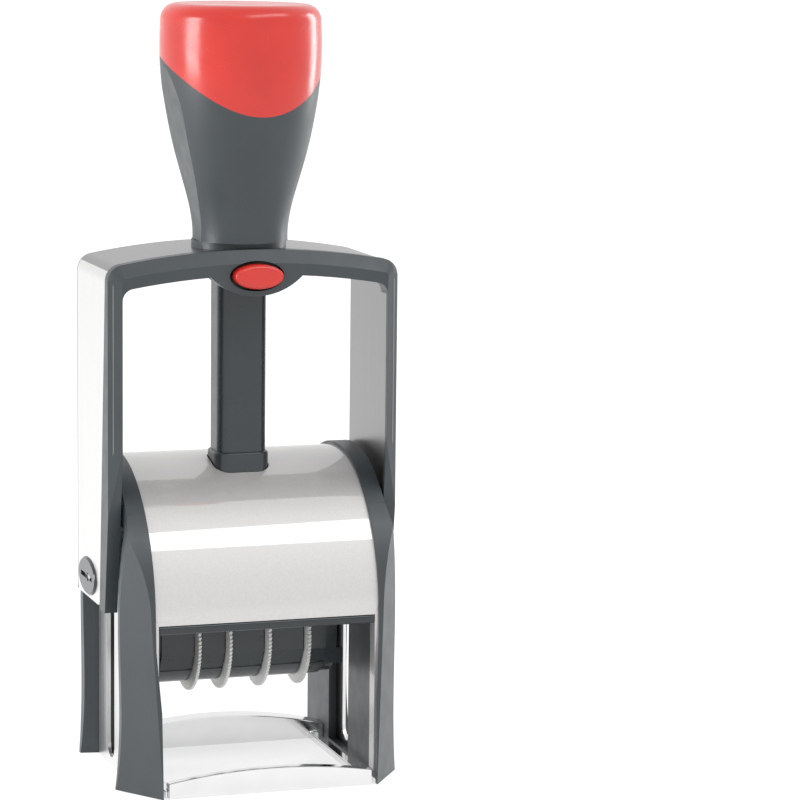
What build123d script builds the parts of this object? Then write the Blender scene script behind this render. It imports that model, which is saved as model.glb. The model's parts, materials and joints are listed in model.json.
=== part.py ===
from build123d import *
import math
import os

# Self-inking rotary date stamp: a carriage (bow, handle) slides down a fixed
# column, its axle pins carry the print unit down the slots of the side
# frames while the unit turns half a turn from the ink pad to the paper.
# Millimetres. X to the right, Y to the back, Z up. The origin is on the
# table, under the column, at the middle of the footprint.

# ---- driving dimensions: whole object -------------------------------------
# The heights are one stack: travel, print unit, pad, bridge, cover, bow, handle.
base_half_depth = 27.5
inner_half_width = 24.5  # clear width between the side frames
stroke = 35.0  # travel of the carriage
handle_height = 50.1  # grip and cap together

# ---- axle, print unit and pad plane ---------------------------------------
axle_y = 4.0
axle_radius = 2.5
text_face = 7.0  # from the axle to the text face
pad_gap = 0.1  # free play between the text face and the pad at rest

# ---- axle plugs and collars ------------------------------------------------
plug_y = 5.4
plug_half_depth = 7.6
plug_half_height = 4.1
plug_sunk = 0.8
plug_proud = 0.5
plug_slot_width = 1.0
plug_slot_length = 9.9
plug_edge = 0.4
axle_stem_radius = 0.9
collar_radius = 4.0
collar_gap = 0.3

# ---- fits ------------------------------------------------------------------
running_fit = 0.05  # radial play of a shaft that turns in its hole
slide_gap = 0.5  # play between sliding pieces
seat_gap = 0.2  # play between fixed pieces that stand side by side

# ---- side frames -----------------------------------------------------------
frame_wall = 1.7
slot_plate_thickness = 1.0
slot_plate_half_depth = 15.2
slot_plate_drop = 4.0  # from the frame's arc down to the plate's top
slot_half_width = 3.1
slot_spare = 2.0  # the slot goes this much below the axle's lowest place
slot_window_half = 7.1
slot_window_rise = 5.0  # the window goes this much above the slot
recess_half_depth = 15.5
fairing_edge_y = 16.4
fairing_inset = 0.7  # from the bow's outer face in to the fairing's foot
# outer edge of the fairing: share of the cover's height, and how far it draws in
fairing_edge = [(0.0, 0.0), (0.324, 0.85), (0.619, 0.75), (0.781, 1.7), (0.869, 2.7)]
fairing_front_inset = 1.0
fairing_corner = 1.2
fairing_front_wall = 1.4
frame_rim = 0.7  # the dark rim stands this much over the cover

# ---- cover: one arc sheet over the mechanism -------------------------------
cover_radius = 31.5
cover_arc_y = 7.5
cover_rise = 6.1  # from the bridge to the top of the arc
cover_thickness = 0.8
cover_rear_y = 26.6
cover_leg_width = 3.2
cover_leg_low_z = 2.0
edge_strip_height = 1.9
edge_strip_depth = 1.5
edge_strip_round = 0.6

# ---- imprint frame at the foot ---------------------------------------------
rail_height = 1.6
rail_width = 1.9
rail_inset = 1.6  # from the side frame to the rail
front_bar_depth = 2.4
front_bar_end_gap = 1.2
bar_end_height = 3.3
front_bar_crown = 2.0
rear_bar_y = 15.0
rear_bar_depth = 4.6
rear_bar_crown = 3.2

# ---- column, bridge and return spring --------------------------------------
column_half_width = 5.4
column_half_depth = 4.8
column_round = 2.6
column_play = 0.42  # from the column's rounded edge to the bore round it
column_bore_radius = 3.8
column_foot_flare = 0.6
column_foot_height = 5.3
column_foot_round = 0.5
notch_rise = 1.5  # from the foot's top to the notch
notch_half_width = 3.2
notch_depth = 0.9
notch_end_rise = 0.6
notch_sag = 1.0
notch_crown = 0.3
bridge_plate = 2.6
bridge_front_y = -11.0
bridge_rear_y = 25.4
bridge_rail = 2.3
bridge_wall_rise = 1.0  # the bay's front wall starts this much over the pad
pedestal_height = 2.2
ledge_width = 2.5
ledge_thickness = 1.6
screw_radius = 1.5
screw_head_radius = 2.9
screw_head = 1.8
screw_reach = 5.5
screw_cross = (3.2, 0.7, 0.8)
side_screw_y = (-4.0, 12.0)
side_screw_radius = 0.9
side_screw_head_radius = 1.7
side_screw_head = 0.9
side_screw_reach = 4.5

# ---- bow --------------------------------------------------------------------
bow_gap = 2.8  # from the slot plate to the strap
press_gap = 1.2  # from the cover to the boss when the carriage is down
strap_thickness = 1.8
strap_back_y = 15.0
strap_front_y = -10.0
strap_low_front_y = -4.8
strap_end_round = 1.6
strap_below_axle = 4.6
bow_arch_radius = 160.0
bow_corner_radius = 3.6
taper_drop = 6.5  # from the top of the bow to where the legs start to taper
trim_depth = 4.5
trim_low_depth = 4.8
trim_taper_rise = 34.6  # from the strap's end to where the trim starts to taper
trim_lip = 1.2  # thickness of the trim's face in front of the strap's tongue
tongue_thickness = 0.9  # inner layer of the strap that runs on under the trim
trim_face_height = 5.2
trim_side = 2.75
trim_rise = 0.3
trim_bevel_height = 2.7
trim_bevel_depth = 2.0
trim_corner_radius = 2.6
back_trim_depth = 0.6
back_trim_side = 1.2
boss_half_width = 10.6
boss_drop = 9.4  # from the top of the bow to the lowest point of the boss

# ---- handle -----------------------------------------------------------------
saddle_rise = 1.4  # from the top of the bow to the grip
saddle_flare = 0.1
saddle_gap = 0.1
grip_centre_y = -1.0
neck_wall_x = 3.5
neck_wall_y = 4.6
bore_roof = 7.5  # from the bore's roof to the top of the cap
cap_edge_radius = 3.4
seam_drops = (24.6, 18.0, 10.6, 8.7)  # below the cap's top, front to back
seam_bend_y = -13.5
seam_arc_end_y = 6.0
guide_radius = 1.9
guide_drop = 2.5  # the guide rod ends this much below the bow's top
guide_head_radius = 6.0
guide_head = 1.0
guide_gap = 1.5  # from the column to the guide's head when pressed
grip_screw_radius = 1.1
grip_screw_wall = 0.8
grip_screw_head_radius = 2.0
grip_screw_head = 1.4
grip_screw_socket_radius = 0.8
grip_screw_reach = 8.0

# ---- lock button -------------------------------------------------------------
button_drop = 5.1  # from the top of the bow to the button's middle
button_half_width = 5.35
button_half_height = 2.6
button_groove = 0.6  # dark groove round the button's head
button_front_y = -17.0
button_head_depth = 3.0
button_edge_radius = 0.9
button_travel = 2.0
button_gap = 0.35
button_spring_packed = 1.0  # room the spring needs when the button is in
button_stem_radius = 1.5
button_stem_end_y = -7.4
button_clip_radius = 2.6
button_clip_thickness = 0.7
latch_wall = 1.6
latch_half_depth = 9.8
latch_plate_drop = 4.2
latch_drop = 8.6
clip_wall = 0.8

# ---- springs -----------------------------------------------------------------
return_wire = 0.45
return_coil_radius = 2.75
return_turns = 26
spring_seat_rise = 4.7  # from the column's foot to the floor of its bore
button_wire = 0.15
button_coil_radius = 2.1
button_turns = 2.5

# ---- print unit ---------------------------------------------------------------
wheel_drop = 13.9  # from the axle to the wheel shaft
unit_side_gap = 3.5  # from the side frame to the cheek
cheek_thickness = 2.5
cheek_rim = 0.4
cheek_drop = 2.5  # from the text face to the cheek's top
cheek_margin = 0.6  # the cheek's top stands this much past the bands
cheek_corner = 1.2
lug_reach = 1.6
lug_depth = 2.6
lug_height = 3.4
lug_inset = 2.4
lug_drop = 4.6
housing_radius = 10.0
housing_wall = 1.2
housing_top = 2.5  # its upper edge, from the axle
facet_drop = 2.5  # flat facet below the wheel shaft, from here
facet_height = 3.4
facet_groove = 0.3
wheel_radius = 12.1
wheel_rim_half = 0.6
wheel_rim_edge = 0.25
wheel_hub_radius = 6.3
shaft_radius = 2.0
band_type_height = 0.8
band_thickness = 1.0
band_half_depth = 8.4
band_gap = 0.3
band_outer_round = 1.3
band_inner_round = 0.5
type_height = 4.0
type_pitch = 5.2
type_start = 1.5  # first side block, above the axle
type_margin = 0.4
platen_half_depth = 6.3
platen_thickness = 3.7
platen_round = 0.9
first_band_width = 4.4
# place of each thumb wheel's disc between the unit's middle and its cheeks
wheel_places = [-0.562, -0.189, 0.2865, 0.7675]
band_names = ["day_tens", "day_units", "month", "year"]

# ---- pad cassette --------------------------------------------------------------
cassette_front_y = -9.5
cassette_height = 9.6
cassette_gap = 0.2
cassette_door = 1.6
door_gap = 0.33
grip_groove = (24.0, 1.6, 2.6)
grip_groove_rise = 2.4
tray_wall = 1.6
pad_side_wall = 3.3
pad_front_y = -7.0
pad_rear_y = 15.0
pad_thickness = 5.0
pad_wall_gap = 0.15

# ---- derived places, widths first ------------------------------------------------
cheek_outer_x = inner_half_width - unit_side_gap
cheek_inner_x = cheek_outer_x - cheek_thickness
wheel_x = [place * cheek_inner_x for place in wheel_places]
cassette_half_width = inner_half_width - bridge_rail - slide_gap
pad_half_width = cassette_half_width - pad_side_wall
strap_inner_x = inner_half_width + frame_wall + slot_plate_thickness + bow_gap
bow_half_width = strap_inner_x + strap_thickness
fairing_half_width = bow_half_width - fairing_inset
fairing_front_x = inner_half_width - fairing_front_inset
brow_x = fairing_half_width - fairing_edge[-1][1]
opening_half_width = bow_half_width - trim_side
column_foot_half = column_half_width + column_foot_flare
column_foot_half_depth = column_half_depth + column_foot_flare
bore_radius = (
    math.hypot(column_half_width - column_round, column_half_depth - column_round)
    + column_round
    + column_play
)
neck_half_width = bore_radius + neck_wall_x
neck_half_depth = bore_radius + neck_wall_y
saddle_half_width = neck_half_width + saddle_flare
saddle_half_depth = -strap_front_y - saddle_gap
grip_screw_place = (bore_radius + grip_screw_radius + grip_screw_wall) / math.sqrt(2)
latch_half_width = grip_screw_place + grip_screw_head_radius + latch_wall
clip_boss_half = button_clip_radius + button_gap + clip_wall
trim_front_y = strap_front_y - trim_depth
trim_low_front_y = strap_low_front_y - trim_low_depth
front_bar_y = -base_half_depth + front_bar_depth / 2 + seat_gap
button_back_y = button_front_y + button_head_depth
button_pocket_depth = (
    button_back_y + button_travel + button_spring_packed - strap_front_y + trim_depth
)
band_outer_half = band_half_depth - band_type_height
band_inner_half = band_outer_half - band_thickness
# heights, from the table up
axle_rest_z = stroke + text_face
axle_slot_top_z = axle_rest_z + slot_half_width
slot_low_z = text_face - slot_half_width - slot_spare
text_z = axle_rest_z + text_face
pad_face_z = text_z + pad_gap
cassette_low_z = pad_face_z
cassette_top_z = cassette_low_z + cassette_height
ledge_top_z = cassette_low_z - cassette_gap
bridge_plate_z = cassette_top_z + slide_gap
bridge_top_z = bridge_plate_z + bridge_plate
side_screw_z = bridge_plate_z + bridge_plate / 2
pedestal_top_z = bridge_top_z + pedestal_height
cover_top_z = bridge_top_z + cover_rise
cover_arc_z = cover_top_z - cover_radius
cover_inner_radius = cover_radius - cover_thickness
frame_radius = cover_radius + frame_rim
column_foot_top_z = pedestal_top_z + column_foot_height
column_floor_z = column_foot_top_z + spring_seat_rise
notch_z = column_foot_top_z + notch_rise
bow_low_z = axle_rest_z - strap_below_axle
bow_top_z = cover_top_z + press_gap + stroke + boss_drop
taper_top_z = bow_top_z - taper_drop
trim_taper_z = bow_low_z + trim_taper_rise
button_z = bow_top_z - button_drop
latch_low_z = bow_top_z - latch_drop
latch_plate_z = bow_top_z - latch_plate_drop
guide_low_z = bow_top_z - guide_drop
grip_low_z = bow_top_z + saddle_rise
grip_top_z = grip_low_z + handle_height
bore_top_z = grip_top_z - bore_roof
column_top_z = bore_top_z - guide_head - guide_gap - stroke
far = 200.0  # longer than anything here, for cutting tools

os.makedirs("parts", exist_ok=True)


def save(part, name):
    """Label a finished piece and write it as one STEP file."""
    part.label = name
    export_step(part, f"parts/{name}.step")


def arch_drop(x, radius):
    """How far an arch of this radius has come down at distance x."""
    return radius - math.sqrt(radius**2 - x**2)


def arc_height(y, radius):
    """Height of the cover's arc family above a given depth."""
    return cover_arc_z + math.sqrt(radius**2 - (y - cover_arc_y) ** 2)


def foot_outline(growth):
    """Plan of the column's rounded foot, grown by a margin."""
    RectangleRounded(
        2 * (column_foot_half + growth),
        2 * (column_foot_half_depth + growth),
        column_round + column_foot_flare + growth,
    )


# =============================================================================
# side frames: an upright plate with a front and a rear fairing outside it
# =============================================================================
def frame_profile(radius, rear_y, low_y):
    """Side view of the frame: flared front, arc over the top, straight back."""
    arc_front_y = cover_arc_y - radius
    mid_y = (arc_front_y + rear_y) / 2
    with BuildLine() as outline:
        Line((low_y, 0), (arc_front_y, cover_arc_z))
        ThreePointArc(
            (arc_front_y, cover_arc_z),
            (mid_y, arc_height(mid_y, radius)),
            (rear_y, arc_height(rear_y, radius)),
        )
        Line((rear_y, arc_height(rear_y, radius)), (rear_y, 0))
        Line((rear_y, 0), (low_y, 0))
    return outline


with BuildPart(mode=Mode.PRIVATE) as frame_envelope:
    with BuildSketch(Plane.YZ):
        add(frame_profile(frame_radius, base_half_depth, -base_half_depth))
        make_face()
    extrude(amount=bow_half_width, both=True)

plate_top_z = arc_height(-slot_plate_half_depth, frame_radius) - slot_plate_drop
fairing_line = [
    (fairing_half_width - inset, share * cover_top_z) for share, inset in fairing_edge
]

# plan of the right frame: fairings in front and behind, a recess between
with BuildPart() as frame_right:
    with BuildSketch(Plane.XY):
        with BuildLine():
            Polyline(
                (inner_half_width, base_half_depth),
                (inner_half_width + fairing_corner, base_half_depth),
                (fairing_half_width, fairing_edge_y + fairing_corner),
                (fairing_half_width, fairing_edge_y),
                (inner_half_width + frame_wall, recess_half_depth),
                (inner_half_width + frame_wall, -recess_half_depth),
                (fairing_half_width, -recess_half_depth - seat_gap),
                (fairing_half_width, -fairing_edge_y),
                (fairing_front_x, -base_half_depth),
                (fairing_front_x, -base_half_depth + fairing_front_wall),
                (inner_half_width, -base_half_depth + fairing_front_wall + fairing_front_inset),
                close=True,
            )
        make_face()
    extrude(amount=far)
    # thick brow under the arc, over the slot plate
    with Locations((inner_half_width + frame_wall, 0, plate_top_z + seat_gap)):
        Box(
            brow_x - inner_half_width - frame_wall,
            2 * recess_half_depth,
            far,
            align=(Align.MIN, Align.CENTER, Align.MIN),
        )
    add(frame_envelope.part, mode=Mode.INTERSECT)
    # front view: the fairing draws in to the brow at the top
    with BuildSketch(Plane.XZ):
        with BuildLine():
            Spline(*fairing_line)
            Polyline(
                fairing_line[-1],
                (brow_x, far),
                (0, far),
                (0, 0),
                fairing_line[0],
            )
        make_face()
    extrude(amount=far, both=True, mode=Mode.INTERSECT)
    # window over the slot plate, round at the bottom
    with BuildSketch(Plane.YZ.offset(inner_half_width)):
        with Locations((axle_y, slot_low_z - 1.0)):
            Rectangle(
                2 * slot_window_half,
                axle_slot_top_z + slot_window_rise - slot_low_z,
                align=(Align.CENTER, Align.MIN),
            )
    extrude(amount=frame_wall, mode=Mode.SUBTRACT)
    with BuildSketch(Plane.YZ.offset(inner_half_width)):
        with Locations(*[(y, side_screw_z) for y in side_screw_y]):
            Circle(side_screw_radius)
    extrude(amount=frame_wall, mode=Mode.SUBTRACT)
    # recesses in the brow for the heads of the side screws
    with BuildSketch(Plane.YZ.offset(inner_half_width + frame_wall)):
        with Locations(*[(y, side_screw_z) for y in side_screw_y]):
            Circle(side_screw_head_radius + seat_gap)
    extrude(amount=brow_x - inner_half_width - frame_wall, mode=Mode.SUBTRACT)

save(frame_right.part, "side_frame_right")
save(mirror(frame_right.part, about=Plane.YZ), "side_frame_left")

# slotted steel plates, let into the recesses
with BuildPart() as plate_right:
    with BuildSketch(Plane.YZ.offset(inner_half_width + frame_wall)):
        Rectangle(2 * slot_plate_half_depth, plate_top_z, align=(Align.CENTER, Align.MIN))
        with Locations((axle_y, (slot_low_z + axle_slot_top_z) / 2)):
            SlotOverall(
                axle_slot_top_z - slot_low_z,
                2 * slot_half_width,
                rotation=90,
                mode=Mode.SUBTRACT,
            )
    extrude(amount=slot_plate_thickness)

save(plate_right.part, "slot_plate_right")
save(mirror(plate_right.part, about=Plane.YZ), "slot_plate_left")

# =============================================================================
# imprint frame: bright frame round the imprint, arched front and rear bars
# =============================================================================
front_bar_half = fairing_front_x - front_bar_end_gap


def arched_bar(half_width, end_height, crown):
    """Front view of a bar that is higher in the middle."""
    with BuildLine() as outline:
        Line((-half_width, 0), (half_width, 0))
        Line((half_width, 0), (half_width, end_height))
        ThreePointArc(
            (half_width, end_height),
            (0, end_height + crown),
            (-half_width, end_height),
        )
        Line((-half_width, end_height), (-half_width, 0))
    return outline


with BuildPart() as imprint_frame:
    rail_front_y = front_bar_y
    rail_length = rear_bar_y + rear_bar_depth / 2 - rail_front_y
    for side in (-1, 1):
        with Locations((side * (inner_half_width - rail_inset - rail_width / 2), rail_front_y, 0)):
            Box(
                rail_width,
                rail_length,
                rail_height,
                align=(Align.CENTER, Align.MIN, Align.MIN),
            )
    with BuildSketch(Plane.XZ.offset(-front_bar_y)):
        add(arched_bar(front_bar_half, bar_end_height, front_bar_crown))
        make_face()
    extrude(amount=front_bar_depth / 2, both=True)
    with BuildSketch(Plane.XZ.offset(-rear_bar_y - rear_bar_depth / 2)):
        add(arched_bar(inner_half_width, bar_end_height, rear_bar_crown))
        make_face()
    extrude(amount=rear_bar_depth / 2, both=True)

save(imprint_frame.part, "imprint_frame")

# =============================================================================
# cover: arc sheet with two front legs, and the dark strip under its edge
# =============================================================================
def ring_sector(outer, inner, rear_y):
    """Side view of the arc sheet from its front edge to its rear edge."""
    outer_mid_y = cover_arc_y - outer / 2
    inner_mid_y = cover_arc_y - inner / 2
    with BuildLine() as outline:
        ThreePointArc(
            (cover_arc_y - outer, cover_arc_z),
            (outer_mid_y, arc_height(outer_mid_y, outer)),
            (rear_y, arc_height(rear_y, outer)),
        )
        Line((rear_y, arc_height(rear_y, outer)), (rear_y, arc_height(rear_y, inner)))
        ThreePointArc(
            (rear_y, arc_height(rear_y, inner)),
            (inner_mid_y, arc_height(inner_mid_y, inner)),
            (cover_arc_y - inner, cover_arc_z),
        )
        Line((cover_arc_y - inner, cover_arc_z), (cover_arc_y - outer, cover_arc_z))
    return outline


cover_front_y = cover_arc_y - cover_radius
with BuildPart() as top_cover:
    with BuildSketch(Plane.YZ):
        add(ring_sector(cover_radius, cover_inner_radius, cover_rear_y))
        make_face()
    extrude(amount=inner_half_width, both=True)
    # one narrow leg down each side, inside the frames
    for side in (-1, 1):
        with Locations((side * (inner_half_width - cover_thickness / 2), cover_front_y, 0)):
            with Locations((0, 0, cover_leg_low_z)):
                Box(
                    cover_thickness,
                    cover_leg_width,
                    cover_arc_z - cover_leg_low_z + cover_thickness,
                    align=(Align.CENTER, Align.MIN, Align.MIN),
                )
    # opening for the foot of the column
    with BuildSketch(Plane.XY.offset(cover_arc_z + cover_radius / 2)):
        foot_outline(seat_gap)
    extrude(amount=cover_radius, mode=Mode.SUBTRACT)

save(top_cover.part, "top_cover")

strip_low_z = cover_arc_z - edge_strip_height
with BuildPart() as edge_strip:
    with Locations((0, cover_front_y - seat_gap, strip_low_z)):
        Box(
            2 * (inner_half_width - cover_thickness - seat_gap),
            edge_strip_depth,
            edge_strip_height - running_fit,
            align=(Align.CENTER, Align.MIN, Align.MIN),
        )
    fillet(edge_strip.edges().filter_by(Axis.X).group_by(Axis.Y)[0], edge_strip_round)

save(edge_strip.part, "cover_edge_strip")

# =============================================================================
# bridge: ties the side frames, carries the column and guides the pad cassette
# =============================================================================
bridge_depth = bridge_rear_y - bridge_front_y
ledge_low_z = ledge_top_z - ledge_thickness
front_wall_y = cassette_front_y - cassette_gap
with BuildPart(mode=Mode.PRIVATE) as under_cover:
    with BuildSketch(Plane.YZ):
        add(frame_profile(cover_inner_radius - seat_gap, bridge_rear_y, -base_half_depth))
        make_face()
    extrude(amount=bow_half_width, both=True)

with BuildPart() as bridge:
    with Locations((0, bridge_front_y, bridge_plate_z)):
        Box(
            2 * inner_half_width,
            bridge_depth,
            bridge_plate,
            align=(Align.CENTER, Align.MIN, Align.MIN),
        )
    for side in (-1, 1):
        with Locations((side * (inner_half_width - bridge_rail / 2), bridge_front_y, ledge_low_z)):
            Box(
                bridge_rail,
                bridge_depth,
                bridge_plate_z - ledge_low_z,
                align=(Align.CENTER, Align.MIN, Align.MIN),
            )
        ledge_x = inner_half_width - bridge_rail - ledge_width / 2
        with Locations((side * ledge_x, bridge_front_y, ledge_low_z)):
            Box(
                ledge_width,
                bridge_depth,
                ledge_thickness,
                align=(Align.CENTER, Align.MIN, Align.MIN),
            )
    # stop wall of the cassette bay, at the front
    with Locations((0, bridge_front_y, cassette_low_z + bridge_wall_rise)):
        Box(
            2 * inner_half_width,
            front_wall_y - bridge_front_y,
            bridge_plate_z - cassette_low_z - bridge_wall_rise,
            align=(Align.CENTER, Align.MIN, Align.MIN),
        )
    add(under_cover.part, mode=Mode.INTERSECT)
    # pedestal under the column, in the cover's opening
    with BuildSketch(Plane.XY.offset(bridge_top_z)):
        foot_outline(0)
    extrude(amount=pedestal_height)
    # hole for the column screw, its head sunk in the plate's lower face
    with Locations((0, 0, bridge_plate_z)):
        Cylinder(
            screw_radius,
            pedestal_top_z - bridge_plate_z,
            align=(Align.CENTER, Align.CENTER, Align.MIN),
            mode=Mode.SUBTRACT,
        )
        Cylinder(
            screw_head_radius + seat_gap,
            screw_head,
            align=(Align.CENTER, Align.CENTER, Align.MIN),
            mode=Mode.SUBTRACT,
        )
    # holes for the side screws
    for side in (-1, 1):
        with BuildSketch(Plane.YZ.offset(side * inner_half_width)):
            with Locations(*[(y, side_screw_z) for y in side_screw_y]):
                Circle(side_screw_radius)
        extrude(amount=-side * side_screw_reach, mode=Mode.SUBTRACT)

save(bridge.part, "bridge")

# =============================================================================
# guide column with its flared foot, screw and the return spring
# =============================================================================
with BuildPart() as column:
    # flared foot with a rounded shoulder
    with BuildSketch(Plane.XY.offset(pedestal_top_z)):
        foot_outline(0)
    extrude(amount=column_foot_height)
    fillet(column.faces().sort_by(Axis.Z)[-1].edges(), column_foot_round)
    with BuildSketch(Plane.XY.offset(pedestal_top_z)):
        RectangleRounded(2 * column_half_width, 2 * column_half_depth, column_round)
    extrude(amount=column_top_z - pedestal_top_z)
    # bore for the return spring
    with Locations((0, 0, column_floor_z)):
        Cylinder(
            column_bore_radius,
            column_top_z - column_floor_z,
            align=(Align.CENTER, Align.CENTER, Align.MIN),
            mode=Mode.SUBTRACT,
        )
    with Locations((0, 0, pedestal_top_z)):
        Cylinder(
            screw_radius,
            screw_reach + slide_gap,
            align=(Align.CENTER, Align.CENTER, Align.MIN),
            mode=Mode.SUBTRACT,
        )
    # crescent notch of the lock
    with BuildSketch(Plane.XZ.offset(column_half_depth)):
        with Locations((0, notch_z)):
            with BuildLine():
                ThreePointArc(
                    (-notch_half_width, notch_end_rise),
                    (0, -notch_sag),
                    (notch_half_width, notch_end_rise),
                )
                ThreePointArc(
                    (notch_half_width, notch_end_rise),
                    (0, notch_end_rise + notch_crown),
                    (-notch_half_width, notch_end_rise),
                )
            make_face()
    extrude(amount=-notch_depth, mode=Mode.SUBTRACT)

save(column.part, "guide_column")

with BuildPart() as column_screw:
    with Locations((0, 0, bridge_plate_z)):
        Cylinder(
            screw_head_radius,
            screw_head,
            align=(Align.CENTER, Align.CENTER, Align.MIN),
        )
        Cylinder(
            screw_radius,
            pedestal_top_z - bridge_plate_z + screw_reach,
            align=(Align.CENTER, Align.CENTER, Align.MIN),
        )
    with Locations((0, 0, bridge_plate_z)):
        for turn in (0, 90):
            Box(
                *screw_cross,
                rotation=(0, 0, turn),
                align=(Align.CENTER, Align.CENTER, Align.MIN),
                mode=Mode.SUBTRACT,
            )

save(column_screw.part, "column_screw")


def coil(radius, wire, turns, plane, length):
    """A helical compression spring that stands on a plane."""
    centre_length = length - 2 * wire
    with BuildPart() as spring:
        with BuildLine() as path:
            Helix(centre_length / turns, centre_length, radius, center=(0, 0, wire))
        with BuildSketch(Plane(path.line @ 0, z_dir=path.line % 0)):
            Circle(wire)
        sweep(path=path.line, is_frenet=True)
    return plane.from_local_coords(spring.part)


spring_length = bore_top_z - guide_head - column_floor_z
return_spring = coil(
    return_coil_radius,
    return_wire,
    return_turns,
    Plane.XY.offset(column_floor_z),
    spring_length,
)
save(return_spring, "return_spring")

# four side screws that hold the frames to the bridge
with BuildPart() as frame_screws:
    for side in (-1, 1):
        seat = Plane(
            origin=(side * (inner_half_width + frame_wall), 0, 0),
            x_dir=(0, 1, 0),
            z_dir=(side, 0, 0),
        )
        spots = [(y, side * side_screw_z) for y in side_screw_y]
        with BuildSketch(seat):
            with Locations(*spots):
                Circle(side_screw_radius)
        extrude(amount=-(frame_wall + side_screw_reach))
        with BuildSketch(seat):
            with Locations(*spots):
                Circle(side_screw_head_radius)
        extrude(amount=side_screw_head)

save(frame_screws.part, "frame_screws")

# =============================================================================
# bow: steel strap, front and back trims
# =============================================================================
def bow_outline(half_width, top_z, arch_radius, low_z):
    """Front view of the bow's outline: two legs and an arched top."""
    shoulder_z = top_z - arch_drop(half_width, arch_radius)
    with BuildLine() as outline:
        Line((-half_width, low_z), (-half_width, shoulder_z))
        ThreePointArc((-half_width, shoulder_z), (0, top_z), (half_width, shoulder_z))
        Line((half_width, shoulder_z), (half_width, low_z))
        Line((half_width, low_z), (-half_width, low_z))
    return outline


def bow_band(outer_half, outer_top, inner_half, inner_top, low_z, radii, front_y, back_y):
    """A bow-shaped band between two outlines, from front_y to back_y."""
    with BuildPart(mode=Mode.PRIVATE) as band:
        with BuildSketch(Plane.XZ.offset(-back_y)):
            add(bow_outline(outer_half, outer_top, bow_arch_radius, low_z))
            make_face()
            fillet(vertices().group_by(Axis.Y)[-1], radii[0])
        extrude(amount=back_y - front_y)
        with BuildSketch(Plane.XZ.offset(-back_y)):
            add(bow_outline(inner_half, inner_top, bow_arch_radius, low_z - 1.0))
            make_face()
            fillet(vertices().group_by(Axis.Y)[-1], radii[1])
        extrude(amount=back_y - front_y, mode=Mode.SUBTRACT)
    return band.part


def side_slab(points):
    """A side-view outline drawn in depth and height, as wide as the bow."""
    with BuildPart(mode=Mode.PRIVATE) as slab:
        with BuildSketch(Plane.YZ):
            with BuildLine():
                Polyline(*points, close=True)
            make_face()
        extrude(amount=bow_half_width + 1.0, both=True)
    return slab.part


def column_opening():
    """Round opening for the column, from the latch housing up to the grip."""
    with Locations((0, 0, latch_low_z)):
        Cylinder(bore_radius, 2 * (grip_low_z - latch_low_z), mode=Mode.SUBTRACT)


def grip_screw_holes():
    """Four holes for the grip screws, from the latch housing into the grip."""
    with Locations((0, 0, latch_low_z)):
        with GridLocations(2 * grip_screw_place, 2 * grip_screw_place, 2, 2):
            Cylinder(
                grip_screw_radius,
                2 * (grip_low_z + grip_screw_reach - latch_low_z),
                mode=Mode.SUBTRACT,
            )


above = grip_top_z
# side view of the tongue on each leg of the strap, up to the trim's face
tongue_outline = [
    (strap_low_front_y, bow_low_z),
    (strap_front_y, taper_top_z),
    (trim_front_y + trim_lip, taper_top_z),
    (trim_front_y + trim_lip, trim_taper_z),
    (trim_low_front_y + trim_lip, bow_low_z),
]
with BuildPart() as strap:
    add(
        bow_band(
            bow_half_width,
            bow_top_z,
            strap_inner_x,
            bow_top_z - strap_thickness,
            bow_low_z,
            (bow_corner_radius, bow_corner_radius - strap_thickness),
            strap_front_y,
            strap_back_y,
        )
    )
    add(
        side_slab(
            [
                (strap_back_y, bow_low_z),
                (strap_back_y, above),
                (strap_front_y, above),
                (strap_front_y, taper_top_z),
                (strap_low_front_y, bow_low_z),
            ]
        ),
        mode=Mode.INTERSECT,
    )
    column_opening()
    # holes for the axle pins
    with BuildSketch(Plane.YZ.offset(-bow_half_width - 1.0)):
        with Locations((axle_y, axle_rest_z)):
            Circle(axle_radius)
    extrude(amount=2 * bow_half_width + 2.0, mode=Mode.SUBTRACT)
    # oval pockets for the plugs that cover the axle pins
    for side in (-1, 1):
        with BuildSketch(Plane.YZ.offset(side * bow_half_width)):
            with Locations((plug_y, axle_rest_z)):
                Ellipse(plug_half_depth, plug_half_height)
        extrude(amount=-side * plug_sunk, mode=Mode.SUBTRACT)
    grip_screw_holes()
    fillet(strap.edges().filter_by(Axis.X).group_by(Axis.Z)[0], strap_end_round)
    for side in (-1, 1):
        with BuildSketch(Plane.YZ.offset(side * strap_inner_x)):
            with BuildLine():
                Polyline(*tongue_outline, close=True)
            make_face()
        extrude(amount=side * tongue_thickness)

save(strap.part, "bow_strap")

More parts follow.
